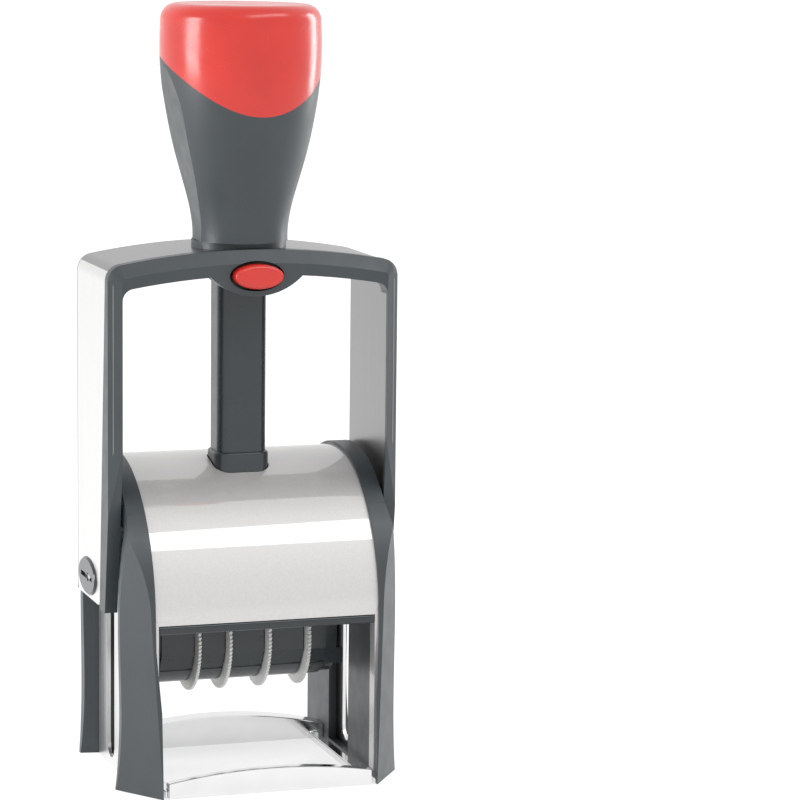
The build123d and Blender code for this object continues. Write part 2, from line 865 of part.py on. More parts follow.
trim_low_z = bow_low_z - 2 * trim_rise
trim_top_z = bow_top_z + trim_rise
with BuildPart() as front_trim:
    add(
        bow_band(
            bow_half_width,
            trim_top_z,
            opening_half_width,
            trim_top_z - trim_face_height,
            trim_low_z,
            (bow_corner_radius, trim_corner_radius),
            trim_front_y,
            strap_low_front_y,
        )
    )
    # boss under the middle of the top, round the lock button
    boss_low_z = bow_top_z - boss_drop
    boss_top_z = trim_top_z - trim_face_height + trim_rise
    with BuildSketch(Plane.XZ.offset(-strap_low_front_y)):
        with BuildLine():
            ThreePointArc(
                (-boss_half_width, boss_top_z),
                (0, boss_low_z),
                (boss_half_width, boss_top_z),
            )
            Line((boss_half_width, boss_top_z), (-boss_half_width, boss_top_z))
        make_face()
    extrude(amount=strap_low_front_y - trim_front_y)
    add(
        side_slab(
            [
                (strap_low_front_y, trim_low_z),
                (strap_front_y, taper_top_z),
                (strap_front_y, above),
                (trim_front_y, above),
                (trim_front_y, trim_taper_z),
                (trim_low_front_y, trim_low_z),
            ]
        ),
        mode=Mode.INTERSECT,
    )
    # long bevel along the arched top
    top_edges = front_trim.edges().filter_by(GeomType.CIRCLE).group_by(SortBy.LENGTH)[-1]
    chamfer(top_edges.sort_by(Axis.Y)[0:1].sort_by(Axis.Z)[-1:], trim_bevel_height, trim_bevel_depth)
    # pocket of the lock button: head in front, stem behind
    with BuildSketch(Plane.XZ.offset(-trim_front_y)):
        with Locations((0, button_z)):
            Ellipse(button_half_width + button_groove, button_half_height + button_groove)
    extrude(amount=-button_pocket_depth, mode=Mode.SUBTRACT)
    with BuildSketch(Plane.XZ.offset(-trim_front_y)):
        with Locations((0, button_z)):
            Circle(button_stem_radius + button_gap)
    extrude(amount=-trim_depth, mode=Mode.SUBTRACT)
    # inner side of the legs, cut back behind the face for the strap's tongue
    for side in (-1, 1):
        with BuildSketch(Plane.YZ.offset(side * opening_half_width)):
            with BuildLine():
                Polyline(*tongue_outline, close=True)
            make_face()
        tongue_room = strap_inner_x + tongue_thickness - opening_half_width
        extrude(amount=side * tongue_room, mode=Mode.SUBTRACT)

save(front_trim.part, "front_trim")

with BuildPart() as back_trim:
    add(
        bow_band(
            bow_half_width,
            bow_top_z,
            bow_half_width - back_trim_side,
            bow_top_z - back_trim_side,
            bow_low_z,
            (bow_corner_radius, bow_corner_radius - back_trim_side),
            strap_back_y,
            strap_back_y + back_trim_depth,
        )
    )

save(back_trim.part, "back_trim")

# =============================================================================
# handle: saddle, grip, cap, spring guide, screws
# =============================================================================
# share of the handle's height, growth of half width and of half depth over
# the neck, and how deep the flat facet on each side is cut
handle_sections = [
    (0.0, 0.0, 0.0, 0.5),
    (0.092, 0.3, 0.2, 0.65),
    (0.182, 1.3, 1.2, 0.85),
    (0.305, 3.1, 3.4, 1.25),
    (0.435, 4.7, 5.6, 1.3),
    (0.581, 6.0, 7.2, 1.15),
    (0.740, 6.9, 7.8, 0.0),
    (0.860, 7.0, 7.8, -1.0),
    (1.0, 6.8, 7.6, -2.0),
]
handle_half_depth = neck_half_depth + max(section[2] for section in handle_sections)


def handle_z(share):
    """Height of a place given as a share of the handle."""
    return grip_low_z + share * handle_height


facet_line = [
    (neck_half_width + section[1] - section[3], handle_z(section[0]))
    for section in handle_sections
]
with BuildPart(mode=Mode.PRIVATE) as handle_body:
    for section in handle_sections:
        with BuildSketch(Plane.XY.offset(handle_z(section[0]))):
            with Locations((0, grip_centre_y)):
                Ellipse(neck_half_width + section[1], neck_half_depth + section[2])
    loft()
    fillet(handle_body.edges().group_by(Axis.Z)[-1], cap_edge_radius)
    with BuildSketch(Plane.XY.offset(grip_low_z)):
        Circle(bore_radius)
    extrude(amount=bore_top_z - grip_low_z, mode=Mode.SUBTRACT)
    # flat facets down both sides
    with BuildSketch(Plane.XZ):
        with BuildLine():
            Spline(*facet_line)
            Polyline(
                facet_line[-1],
                (facet_line[-1][0] + far, facet_line[-1][1]),
                (facet_line[-1][0] + far, facet_line[0][1]),
                facet_line[0],
            )
        make_face()
        mirror(about=Plane.YZ)
    extrude(amount=far, both=True, mode=Mode.SUBTRACT)


def seam_block(low):
    """Everything on one side of the seam between grip and cap."""
    edge_z = grip_low_z if low else grip_top_z
    front_y = grip_centre_y - handle_half_depth - slide_gap
    back_y = grip_centre_y + handle_half_depth + slide_gap
    with BuildPart(mode=Mode.PRIVATE) as block:
        with BuildSketch(Plane.YZ):
            with BuildLine():
                ThreePointArc(
                    (front_y, grip_top_z - seam_drops[0]),
                    (seam_bend_y, grip_top_z - seam_drops[1]),
                    (seam_arc_end_y, grip_top_z - seam_drops[2]),
                )
                Polyline(
                    (seam_arc_end_y, grip_top_z - seam_drops[2]),
                    (back_y, grip_top_z - seam_drops[3]),
                    (back_y, edge_z),
                    (front_y, edge_z),
                    (front_y, grip_top_z - seam_drops[0]),
                )
            make_face()
        extrude(amount=handle_half_depth, both=True)
    return block.part


with BuildPart() as grip:
    add(handle_body.part)
    add(seam_block(True), mode=Mode.INTERSECT)
    grip_screw_holes()

save(grip.part, "handle_grip")

with BuildPart() as cap:
    add(handle_body.part)
    add(seam_block(False), mode=Mode.INTERSECT)

save(cap.part, "handle_cap")

# saddle between the arched strap and the flat end of the grip
with BuildPart() as saddle:
    with BuildSketch(Plane.XY.offset(grip_low_z)):
        Ellipse(saddle_half_width, saddle_half_depth)
        Circle(bore_radius, mode=Mode.SUBTRACT)
    extrude(amount=-saddle_rise - strap_thickness)
    # its lower face follows the arched strap
    with BuildSketch(Plane.XZ.offset(-far)):
        with BuildLine():
            saddle_edge_z = bow_top_z - arch_drop(bow_half_width, bow_arch_radius)
            ThreePointArc(
                (-bow_half_width, saddle_edge_z),
                (0, bow_top_z),
                (bow_half_width, saddle_edge_z),
            )
            Polyline(
                (bow_half_width, saddle_edge_z),
                (bow_half_width, bow_low_z),
                (-bow_half_width, bow_low_z),
                (-bow_half_width, saddle_edge_z),
            )
        make_face()
    extrude(amount=2 * far, mode=Mode.SUBTRACT)
    grip_screw_holes()

save(saddle.part, "handle_saddle")

with BuildPart() as grip_screws:
    with Locations((0, 0, latch_plate_z)):
        with GridLocations(2 * grip_screw_place, 2 * grip_screw_place, 2, 2):
            Cylinder(
                grip_screw_head_radius,
                grip_screw_head,
                align=(Align.CENTER, Align.CENTER, Align.MIN),
            )
            Cylinder(
                grip_screw_radius,
                grip_low_z + grip_screw_reach - latch_plate_z,
                align=(Align.CENTER, Align.CENTER, Align.MIN),
            )
            Cylinder(
                grip_screw_socket_radius,
                grip_screw_head / 2,
                align=(Align.CENTER, Align.CENTER, Align.MIN),
                mode=Mode.SUBTRACT,
            )

save(grip_screws.part, "grip_screws")

# rod that hangs from the roof of the bore and keeps the spring straight
with BuildPart() as guide:
    with Locations((0, 0, guide_low_z)):
        Cylinder(
            guide_radius,
            bore_top_z - guide_low_z,
            align=(Align.CENTER, Align.CENTER, Align.MIN),
        )
    chamfer(guide.edges().group_by(Axis.Z)[0], guide_radius / 3)
    with Locations((0, 0, bore_top_z - guide_head)):
        Cylinder(
            guide_head_radius,
            guide_head,
            align=(Align.CENTER, Align.CENTER, Align.MIN),
        )

save(guide.part, "spring_guide")

# =============================================================================
# axle pins with their collars, and the oval plugs over them
# =============================================================================
stem_end_x = bow_half_width + plug_proud / 2
with BuildPart() as axle_pin:
    with BuildSketch(Plane.YZ.offset(cheek_inner_x + seat_gap)):
        with Locations((axle_y, axle_rest_z)):
            Circle(axle_radius)
    extrude(amount=bow_half_width - plug_sunk - cheek_inner_x - seat_gap)
    with BuildSketch(Plane.YZ.offset(cheek_outer_x + collar_gap)):
        with Locations((axle_y, axle_rest_z)):
            Circle(collar_radius)
    extrude(amount=inner_half_width - collar_gap - cheek_outer_x - collar_gap)
    with BuildSketch(Plane.YZ.offset(bow_half_width - plug_sunk)):
        with Locations((axle_y, axle_rest_z)):
            Circle(axle_stem_radius)
    extrude(amount=stem_end_x - bow_half_width + plug_sunk)

save(axle_pin.part, "axle_pin_right")
save(mirror(axle_pin.part, about=Plane.YZ), "axle_pin_left")

with BuildPart() as plug:
    with BuildSketch(Plane.YZ.offset(bow_half_width - plug_sunk)):
        with Locations((plug_y, axle_rest_z)):
            Ellipse(plug_half_depth, plug_half_height)
    extrude(amount=plug_sunk + plug_proud)
    chamfer(plug.edges().group_by(Axis.X)[-1], plug_edge)
    with BuildSketch(Plane.YZ.offset(bow_half_width - plug_sunk)):
        with Locations((axle_y, axle_rest_z)):
            Circle(axle_stem_radius)
    extrude(amount=plug_sunk + plug_proud, mode=Mode.SUBTRACT)
    with BuildSketch(Plane.YZ.offset(bow_half_width)):
        with Locations((plug_y, axle_rest_z)):
            Rectangle(plug_slot_length, plug_slot_width)
    extrude(amount=plug_proud, mode=Mode.SUBTRACT)

save(plug.part, "axle_plug_right")
save(mirror(plug.part, about=Plane.YZ), "axle_plug_left")

# =============================================================================
# lock button, its housing under the bow and its spring
# =============================================================================
with BuildPart() as latch_housing:
    with Locations((0, 0, latch_plate_z)):
        Box(
            2 * latch_half_width,
            2 * latch_half_depth,
            bow_top_z - latch_plate_z,
            align=(Align.CENTER, Align.CENTER, Align.MIN),
        )
    # boss round the button's clip, in front of the column
    with Locations((0, -latch_half_depth, latch_low_z)):
        Box(
            2 * clip_boss_half,
            latch_half_depth - column_half_depth,
            latch_plate_z - latch_low_z,
            align=(Align.CENTER, Align.MIN, Align.MIN),
        )
    # its top follows the underside of the arched strap
    with BuildSketch(Plane.XZ.offset(-latch_half_depth)):
        with BuildLine():
            side_z = bow_top_z - strap_thickness - arch_drop(latch_half_width, bow_arch_radius)
            ThreePointArc(
                (-latch_half_width, side_z),
                (0, bow_top_z - strap_thickness),
                (latch_half_width, side_z),
            )
            Polyline(
                (latch_half_width, side_z),
                (latch_half_width, above),
                (-latch_half_width, above),
                (-latch_half_width, side_z),
            )
        make_face()
    extrude(amount=2 * latch_half_depth, mode=Mode.SUBTRACT)
    column_opening()
    grip_screw_holes()
    with Locations((0, 0, latch_plate_z)):
        with GridLocations(2 * grip_screw_place, 2 * grip_screw_place, 2, 2):
            Cylinder(grip_screw_head_radius, 2 * grip_screw_head, mode=Mode.SUBTRACT)
    # bore for the clip on the button's stem
    with BuildSketch(Plane.XZ.offset(latch_half_depth)):
        with Locations((0, button_z)):
            Circle(button_clip_radius + button_gap)
    extrude(amount=-latch_half_depth / 2, mode=Mode.SUBTRACT)

save(latch_housing.part, "latch_housing")

with BuildPart() as lock_button:
    with BuildSketch(Plane.XZ.offset(-button_back_y)):
        with Locations((0, button_z)):
            Ellipse(button_half_width, button_half_height)
    extrude(amount=button_head_depth)
    fillet(lock_button.edges().group_by(Axis.Y)[0], button_edge_radius)
    with BuildSketch(Plane.XZ.offset(-button_back_y)):
        with Locations((0, button_z)):
            Circle(button_stem_radius)
    extrude(amount=-(button_stem_end_y - button_back_y))
    with BuildSketch(Plane.XZ.offset(latch_half_depth)):
        with Locations((0, button_z)):
            Circle(button_clip_radius)
    extrude(amount=-button_clip_thickness)

save(lock_button.part, "lock_button")

pocket_floor_y = trim_front_y + button_pocket_depth
button_spring = coil(
    button_coil_radius,
    button_wire,
    button_turns,
    Plane(origin=(0, pocket_floor_y, button_z), z_dir=(0, -1, 0)),
    pocket_floor_y - button_back_y,
)
save(button_spring, "button_spring")

# =============================================================================
# print unit: two cheeks, housing, platen, shaft, date bands
# =============================================================================
def unit_plane(x):
    """A side-view plane at this x with its origin on the axle."""
    return Plane(origin=(x, axle_y, axle_rest_z), x_dir=(0, 1, 0), z_dir=(1, 0, 0))


cheek_top = text_face - cheek_drop
with BuildPart() as cheek:
    with BuildSketch(unit_plane(cheek_inner_x)):
        with Locations((0, -wheel_drop)):
            Circle(housing_radius - cheek_rim)
        with Locations((0, cheek_top / 2)):
            RectangleRounded(2 * (band_half_depth + cheek_margin), cheek_top, cheek_corner)
        make_hull()
        Circle(axle_radius + running_fit, mode=Mode.SUBTRACT)
        with Locations((0, -wheel_drop)):
            Circle(shaft_radius, mode=Mode.SUBTRACT)
    extrude(amount=cheek_thickness)
    # square lug on the outside, by the wheel shaft
    with BuildSketch(unit_plane(cheek_outer_x)):
        with Locations((-housing_radius + lug_inset, -wheel_drop - lug_drop)):
            Rectangle(lug_depth, lug_height)
    extrude(amount=lug_reach)

save(cheek.part, "unit_cheek_right")
save(mirror(cheek.part, about=Plane.YZ), "unit_cheek_left")

housing_inner = housing_radius - housing_wall
facet_high = -wheel_drop - facet_drop
facet_low = facet_high - facet_height
facet_low_y = -math.sqrt(housing_radius**2 - (facet_low + wheel_drop) ** 2)
with BuildPart() as housing:
    with BuildSketch(unit_plane(-cheek_inner_x)):
        # outside: straight walls, a flat facet low in front, a round bottom
        with BuildLine():
            Polyline(
                (facet_low_y, facet_low),
                (-housing_radius, facet_high),
                (-housing_radius, housing_top),
                (housing_radius, housing_top),
                (housing_radius, -wheel_drop),
            )
            ThreePointArc(
                (housing_radius, -wheel_drop),
                (0, -wheel_drop - housing_radius),
                (facet_low_y, facet_low),
            )
        make_face()
        with BuildLine():
            ThreePointArc(
                (-housing_inner, -wheel_drop),
                (0, -wheel_drop - housing_inner),
                (housing_inner, -wheel_drop),
            )
            Polyline(
                (housing_inner, -wheel_drop),
                (housing_inner, housing_top),
                (-housing_inner, housing_top),
                (-housing_inner, -wheel_drop),
            )
        make_face(mode=Mode.SUBTRACT)
        # groove under the facet
        with Locations((facet_low_y, facet_low)):
            Circle(facet_groove, mode=Mode.SUBTRACT)
    extrude(amount=2 * cheek_inner_x)
    # slots for the thumb wheels
    slot_half = wheel_rim_half + band_gap
    slot_top = -wheel_drop + math.sqrt(wheel_radius**2 - housing_inner**2) + 2 * band_gap
    for x in wheel_x:
        with BuildSketch(unit_plane(x - slot_half)):
            with Locations((0, slot_top)):
                Rectangle(
                    3 * housing_radius,
                    wheel_drop + housing_radius,
                    align=(Align.CENTER, Align.MAX),
                )
        extrude(amount=2 * slot_half, mode=Mode.SUBTRACT)

save(housing.part, "unit_housing")

band_inner_top = text_face - band_type_height - band_thickness
platen_low = band_inner_top - platen_thickness
with BuildPart() as platen:
    with BuildSketch(unit_plane(-cheek_inner_x)):
        with Locations((0, platen_low)):
            Rectangle(
                2 * platen_half_depth,
                band_inner_top - platen_low,
                align=(Align.CENTER, Align.MIN),
            )
    extrude(amount=2 * cheek_inner_x)
    fillet(platen.edges().filter_by(Axis.X).group_by(Axis.Z)[-1], platen_round)

save(platen.part, "platen")

with BuildPart() as shaft:
    with BuildSketch(unit_plane(-cheek_outer_x)):
        with Locations((0, -wheel_drop)):
            Circle(shaft_radius)
    extrude(amount=2 * cheek_outer_x)

save(shaft.part, "wheel_shaft")


def loop_outline(half, top):
    """Side view of a band: flat over the platen, round under the hub."""
    with BuildLine() as outline:
        ThreePointArc((-half, -wheel_drop), (0, -wheel_drop - half), (half, -wheel_drop))
        Line((half, -wheel_drop), (half, top))
        Line((half, top), (-half, top))
        Line((-half, top), (-half, -wheel_drop))
    return outline


band_starts = []
band_ends = []
for i, x in enumerate(wheel_x):
    end = x - wheel_rim_half - band_gap
    start = end - first_band_width
    if i > 0:
        start = wheel_x[i - 1] + wheel_rim_half + band_gap
    band_starts.append(start)
    band_ends.append(end)

for name, start, end in zip(band_names, band_starts, band_ends):
    with BuildPart() as band:
        with BuildSketch(unit_plane(start)):
            add(loop_outline(band_outer_half, text_face - band_type_height))
            make_face()
            fillet(vertices().group_by(Axis.Y)[-1], band_outer_round)
        extrude(amount=end - start)
        with BuildSketch(unit_plane(start)):
            add(loop_outline(band_inner_half, band_inner_top))
            make_face()
            fillet(vertices().group_by(Axis.Y)[-1], band_inner_round)
        extrude(amount=end - start, mode=Mode.SUBTRACT)
        # raised type: one block in the printing place, more down the sides
        type_width = end - start - 2 * type_margin
        with Locations(((start + end) / 2, axle_y, axle_rest_z + text_face)):
            Box(
                type_width,
                type_height,
                band_type_height,
                align=(Align.CENTER, Align.CENTER, Align.MAX),
            )
        for side in (-1, 1):
            for step in range(3):
                with Locations(
                    (
                        (start + end) / 2,
                        axle_y + side * (band_outer_half + band_type_height / 2),
                        axle_rest_z + type_start - type_pitch * step,
                    )
                ):
                    Box(type_width, band_type_height, type_height)
    save(band.part, f"date_band_{name}")

for name, x, start in zip(band_names, wheel_x, band_starts):
    with BuildPart() as wheel:
        with BuildSketch(unit_plane(x - wheel_rim_half)):
            with Locations((0, -wheel_drop)):
                Circle(wheel_radius)
        extrude(amount=2 * wheel_rim_half)
        chamfer(wheel.edges(), wheel_rim_edge)
        with BuildSketch(unit_plane(start)):
            with Locations((0, -wheel_drop)):
                Circle(wheel_hub_radius)
        extrude(amount=x - start)
        with BuildSketch(unit_plane(start)):
            with Locations((0, -wheel_drop)):
                Circle(shaft_radius + running_fit)
        extrude(amount=x + wheel_rim_half - start, mode=Mode.SUBTRACT)
    save(wheel.part, f"thumb_wheel_{name}")

# =============================================================================
# pad cassette with its door, and the ink pad
# =============================================================================
door_front_y = bridge_rear_y + seat_gap
tray_depth = door_front_y - cassette_front_y
door_top_z = arc_height(cover_rear_y, cover_inner_radius) - door_gap
with BuildPart() as cassette:
    with Locations((0, cassette_front_y, cassette_low_z)):
        Box(
            2 * cassette_half_width,
            tray_depth,
            cassette_height,
            align=(Align.CENTER, Align.MIN, Align.MIN),
        )
    # recess for the pad, from below
    with Locations((0, pad_front_y - pad_wall_gap, cassette_low_z)):
        Box(
            2 * (pad_half_width + pad_wall_gap),
            pad_rear_y - pad_front_y + 2 * pad_wall_gap,
            pad_thickness,
            align=(Align.CENTER, Align.MIN, Align.MIN),
            mode=Mode.SUBTRACT,
        )
    # ink well, open at the top
    with Locations((0, cassette_front_y + tray_wall, cassette_low_z + pad_thickness + tray_wall)):
        Box(
            2 * (cassette_half_width - tray_wall),
            tray_depth - 2 * tray_wall,
            cassette_height,
            align=(Align.CENTER, Align.MIN, Align.MIN),
            mode=Mode.SUBTRACT,
        )
    # door that closes the back
    with Locations((0, door_front_y, ledge_low_z)):
        Box(
            2 * (inner_half_width - slide_gap),
            cassette_door,
            door_top_z - ledge_low_z,
            align=(Align.CENTER, Align.MIN, Align.MIN),
        )
    # finger groove across the door
    with Locations((0, door_front_y + cassette_door, cassette_low_z + grip_groove_rise)):
        Box(*grip_groove, mode=Mode.SUBTRACT)

save(cassette.part, "pad_cassette")

with BuildPart() as pad:
    with Locations((0, pad_front_y, pad_face_z)):
        Box(
            2 * pad_half_width,
            pad_rear_y - pad_front_y,
            pad_thickness,
            align=(Align.CENTER, Align.MIN, Align.MIN),
        )

save(pad.part, "ink_pad")
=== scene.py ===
import json
import math

import bmesh
import bpy
from mathutils import Matrix, Vector


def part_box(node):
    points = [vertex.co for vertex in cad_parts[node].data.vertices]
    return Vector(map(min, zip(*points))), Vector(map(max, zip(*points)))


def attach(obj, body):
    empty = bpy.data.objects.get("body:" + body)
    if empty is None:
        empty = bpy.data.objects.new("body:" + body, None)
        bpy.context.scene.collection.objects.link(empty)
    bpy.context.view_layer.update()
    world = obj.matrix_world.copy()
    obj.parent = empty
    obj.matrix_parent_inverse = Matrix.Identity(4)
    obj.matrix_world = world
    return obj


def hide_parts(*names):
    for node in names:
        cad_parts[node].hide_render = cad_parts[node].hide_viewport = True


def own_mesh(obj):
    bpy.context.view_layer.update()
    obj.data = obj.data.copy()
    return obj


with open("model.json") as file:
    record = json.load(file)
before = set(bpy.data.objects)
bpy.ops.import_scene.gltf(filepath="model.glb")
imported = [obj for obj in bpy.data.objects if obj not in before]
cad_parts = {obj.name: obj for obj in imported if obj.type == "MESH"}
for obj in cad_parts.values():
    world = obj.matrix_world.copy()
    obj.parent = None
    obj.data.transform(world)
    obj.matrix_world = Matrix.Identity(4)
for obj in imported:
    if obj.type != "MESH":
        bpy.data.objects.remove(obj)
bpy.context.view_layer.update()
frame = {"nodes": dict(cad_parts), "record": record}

# Rotary date stamp: materials, toothed wheels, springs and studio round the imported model.
# All lengths are metres, in the model's own frame.
MM = 0.001


# =============================================================================
# small helpers for shader nodes
# =============================================================================
class Shader:
    """A new material with its Principled shader and short calls for nodes."""

    def __init__(self, name, colour, roughness, metallic=0.0):
        self.material = bpy.data.materials.new(name)
        self.material.use_nodes = True
        self.tree = self.material.node_tree
        self.bsdf = self.tree.nodes["Principled BSDF"]
        self.set("Base Color", (*colour, 1.0))
        self.set("Roughness", roughness)
        self.set("Metallic", metallic)
        self.coords = self.node("ShaderNodeTexCoord").outputs["Object"]

    def set(self, socket, value):
        self.bsdf.inputs[socket].default_value = value

    def node(self, kind, **settings):
        made = self.tree.nodes.new(kind)
        for key, value in settings.items():
            setattr(made, key, value)
        return made

    def link(self, source, target):
        self.tree.links.new(source, target)

    def stretched(self, scale):
        """Object coordinates scaled by a different amount along each axis."""
        mapping = self.node("ShaderNodeMapping")
        mapping.inputs["Scale"].default_value = scale
        self.link(self.coords, mapping.inputs["Vector"])
        return mapping.outputs["Vector"]

    def noise(self, scale, detail=3.0, roughness=0.5, vector=None):
        made = self.node("ShaderNodeTexNoise")
        made.inputs["Scale"].default_value = scale
        made.inputs["Detail"].default_value = detail
        made.inputs["Roughness"].default_value = roughness
        self.link(vector or self.coords, made.inputs["Vector"])
        return made.outputs["Fac"]

    def spread(self, source, low, high, start=0.3, end=0.7):
        """Maps a noise value to the range low..high."""
        made = self.node("ShaderNodeMapRange")
        made.inputs["From Min"].default_value = start
        made.inputs["From Max"].default_value = end
        made.inputs["To Min"].default_value = low
        made.inputs["To Max"].default_value = high
        self.link(source, made.inputs["Value"])
        return made.outputs["Result"]

    def blend(self, factor, first, second):
        """Mixes two colours by a factor."""
        made = self.node("ShaderNodeMix", data_type="RGBA")
        self.link(factor, made.inputs["Factor"])
        made.inputs["A"].default_value = (*first, 1.0)
        made.inputs["B"].default_value = (*second, 1.0)
        return made.outputs["Result"]

    def bump(self, height, distance, strength=1.0):
        made = self.node("ShaderNodeBump")
        made.inputs["Strength"].default_value = strength
        made.inputs["Distance"].default_value = distance
        self.link(height, made.inputs["Height"])
        self.link(made.outputs["Normal"], self.bsdf.inputs["Normal"])


def shade(value, factor):
    """A colour made lighter or darker."""
    return tuple(channel * factor for channel in value)


# =============================================================================
# materials
# =============================================================================
def moulded_plastic(name, colour, roughness, grain=0.00001):
    """Moulded plastic: fine spark-eroded grain, slight tone and gloss variation."""
    look = Shader(name, colour, roughness)
    tone = look.noise(90.0, detail=4.0)
    look.link(
        look.blend(look.spread(tone, 0.0, 1.0), shade(colour, 0.93), shade(colour, 1.07)),
        look.bsdf.inputs["Base Color"],
    )
    patches = look.noise(240.0, detail=5.0)
    look.link(look.spread(patches, roughness - 0.04, roughness + 0.05), look.bsdf.inputs["Roughness"])
    look.bump(look.noise(5200.0, detail=2.0), grain)
    return look


def brushed_steel(name, colour, roughness, brush, groove=0.000004):
    """Sheet steel with fine brush lines: brush is small along the lines."""
    look = Shader(name, colour, roughness, metallic=1.0)
    lines = look.noise(1.0, detail=6.0, roughness=0.65, vector=look.stretched(brush))
    look.link(
        look.blend(look.spread(lines, 0.0, 1.0), shade(colour, 0.93), shade(colour, 1.04)),
        look.bsdf.inputs["Base Color"],
    )
    look.link(look.spread(lines, roughness - 0.05, roughness + 0.07), look.bsdf.inputs["Roughness"])
    look.bump(lines, groove)
    return look


def plated_steel(name, colour, roughness):
    """Bright plated steel with faint cloudiness and handling marks."""
    look = Shader(name, colour, roughness, metallic=1.0)
    cloud = look.noise(160.0, detail=5.0)
    look.link(look.spread(cloud, roughness - 0.03, roughness + 0.06), look.bsdf.inputs["Roughness"])
    look.link(
        look.blend(look.spread(cloud, 0.0, 1.0), shade(colour, 0.95), colour),
        look.bsdf.inputs["Base Color"],
    )
    look.bump(look.noise(900.0, detail=3.0), 0.000003)
    return look


def steel_with_painted_inner_shade(name, limit, outside, inside_painted_shade, groove):
    """Sheet brushed upwards, with painted shade: a darker colour on the faces nearer to the middle
    than limit.
    """
    look = Shader(name, outside, 0.30, metallic=1.0)
    lines = look.noise(1.0, detail=6.0, roughness=0.65, vector=look.stretched((2600.0, 2600.0, 30.0)))
    # painted shade: faces nearer the middle than limit take the darker inside colour
    place = look.node("ShaderNodeSeparateXYZ")
    look.link(look.coords, place.inputs["Vector"])
    reach = look.node("ShaderNodeMath", operation="ABSOLUTE")
    look.link(place.outputs["X"], reach.inputs[0])
    inner = look.node("ShaderNodeMath", operation="LESS_THAN")
    inner.inputs[1].default_value = limit
    look.link(reach.outputs["Value"], inner.inputs[0])
    base = look.node("ShaderNodeMix", data_type="RGBA")
    look.link(inner.outputs["Value"], base.inputs["Factor"])
    tone = look.spread(lines, 0.0, 1.0)
    look.link(look.blend(tone, shade(outside, 0.95), shade(outside, 1.03)), base.inputs["A"])
    look.link(look.blend(tone, shade(inside_painted_shade, 0.85), shade(inside_painted_shade, 1.15)), base.inputs["B"])
    look.link(base.outputs["Result"], look.bsdf.inputs["Base Color"])
    look.link(look.spread(lines, 0.26, 0.36), look.bsdf.inputs["Roughness"])
    look.bump(lines, groove)
    return look.material


def cover_sheet(name):
    """The cover's sheet: satin metallic grain under a clear glossy coat."""
    look = Shader(name, (0.60, 0.585, 0.58), 0.55, metallic=0.5)
    fleck = look.noise(2600.0, detail=3.0)
    look.link(
        look.blend(look.spread(fleck, 0.0, 1.0), (0.50, 0.487, 0.483), (0.56, 0.547, 0.542)),
        look.bsdf.inputs["Base Color"],
    )
    look.link(look.spread(fleck, 0.50, 0.60), look.bsdf.inputs["Roughness"])
    look.bump(fleck, 0.000002, 0.5)
    look.set("Coat Weight", 1.0)
    look.set("Coat IOR", 2.1)
    look.set("Coat Roughness", 0.035)
    return look.material


DARK = (0.034, 0.042, 0.047)
RED = (0.53, 0.021, 0.013)
dark_plastic = moulded_plastic("dark_slate_plastic", DARK, 0.38).material
gloss_plastic = moulded_plastic("dark_gloss_plastic", shade(DARK, 0.6), 0.12, grain=0.000003).material
deep_plastic = moulded_plastic("dark_column_plastic", shade(DARK, 0.75), 0.24, grain=0.000003).material
red = moulded_plastic("red_plastic", RED, 0.24, grain=0.000004)
red.set("Coat Weight", 0.15)
red.set("Coat Roughness", 0.10)
red_plastic = red.material
light_plastic = moulded_plastic("light_wheel_plastic", (0.80, 0.80, 0.78), 0.42).material
platen_plastic = moulded_plastic("platen_plastic", (0.10, 0.105, 0.11), 0.45).material
# sideways from the middle plane, between the inner and the outer face of each upright sheet; faces
# nearer the middle get painted shade
STRAP_SHADE_LIMIT = 31.0 * MM
PLATE_SHADE_LIMIT = 26.5 * MM
# painted shade: the strap's inner faces are given a darker grey than its outer faces
strap_steel_shaded_inside = steel_with_painted_inner_shade(
    "strap_steel_shaded_inside",
    STRAP_SHADE_LIMIT,
    outside=(0.77, 0.765, 0.76),
    inside_painted_shade=(0.27, 0.27, 0.27),
    groove=0.000003,
)
cover_steel = cover_sheet("cover_steel")
# painted shade: the slot plates' inner faces are given a near-black colour instead of their steel grey
plate_steel_shaded_inside = steel_with_painted_inner_shade(
    "plate_steel_shaded_inside",
    PLATE_SHADE_LIMIT,
    outside=(0.84, 0.84, 0.84),
    inside_painted_shade=(0.06, 0.06, 0.06),
    groove=0.0000006,
)
bright_steel = plated_steel("bright_plated_steel", (0.80, 0.80, 0.80), 0.12).material
turned_steel = brushed_steel("turned_steel", (0.60, 0.60, 0.60), 0.25, (4000.0, 900.0, 900.0)).material
spring_steel = plated_steel("spring_steel", (0.50, 0.50, 0.51), 0.22).material
band_rubber = moulded_plastic("band_rubber", (0.045, 0.038, 0.036), 0.62, grain=0.00002).material


def inked_felt():
    """Felt soaked with dark blue ink: short matted fibres, wet sheen in places."""
    look = Shader("inked_felt", (0.012, 0.012, 0.05), 0.7)
    fibres = look.noise(3200.0, detail=6.0, roughness=0.7)
    look.link(
        look.blend(look.spread(fibres, 0.0, 1.0), (0.006, 0.006, 0.03), (0.03, 0.03, 0.10)),
        look.bsdf.inputs["Base Color"],
    )
    look.link(look.spread(look.noise(350.0), 0.45, 0.85), look.bsdf.inputs["Roughness"])
    look.set("Sheen Weight", 0.3)
    look.bump(fibres, 0.00012)
    return look.material


felt = inked_felt()

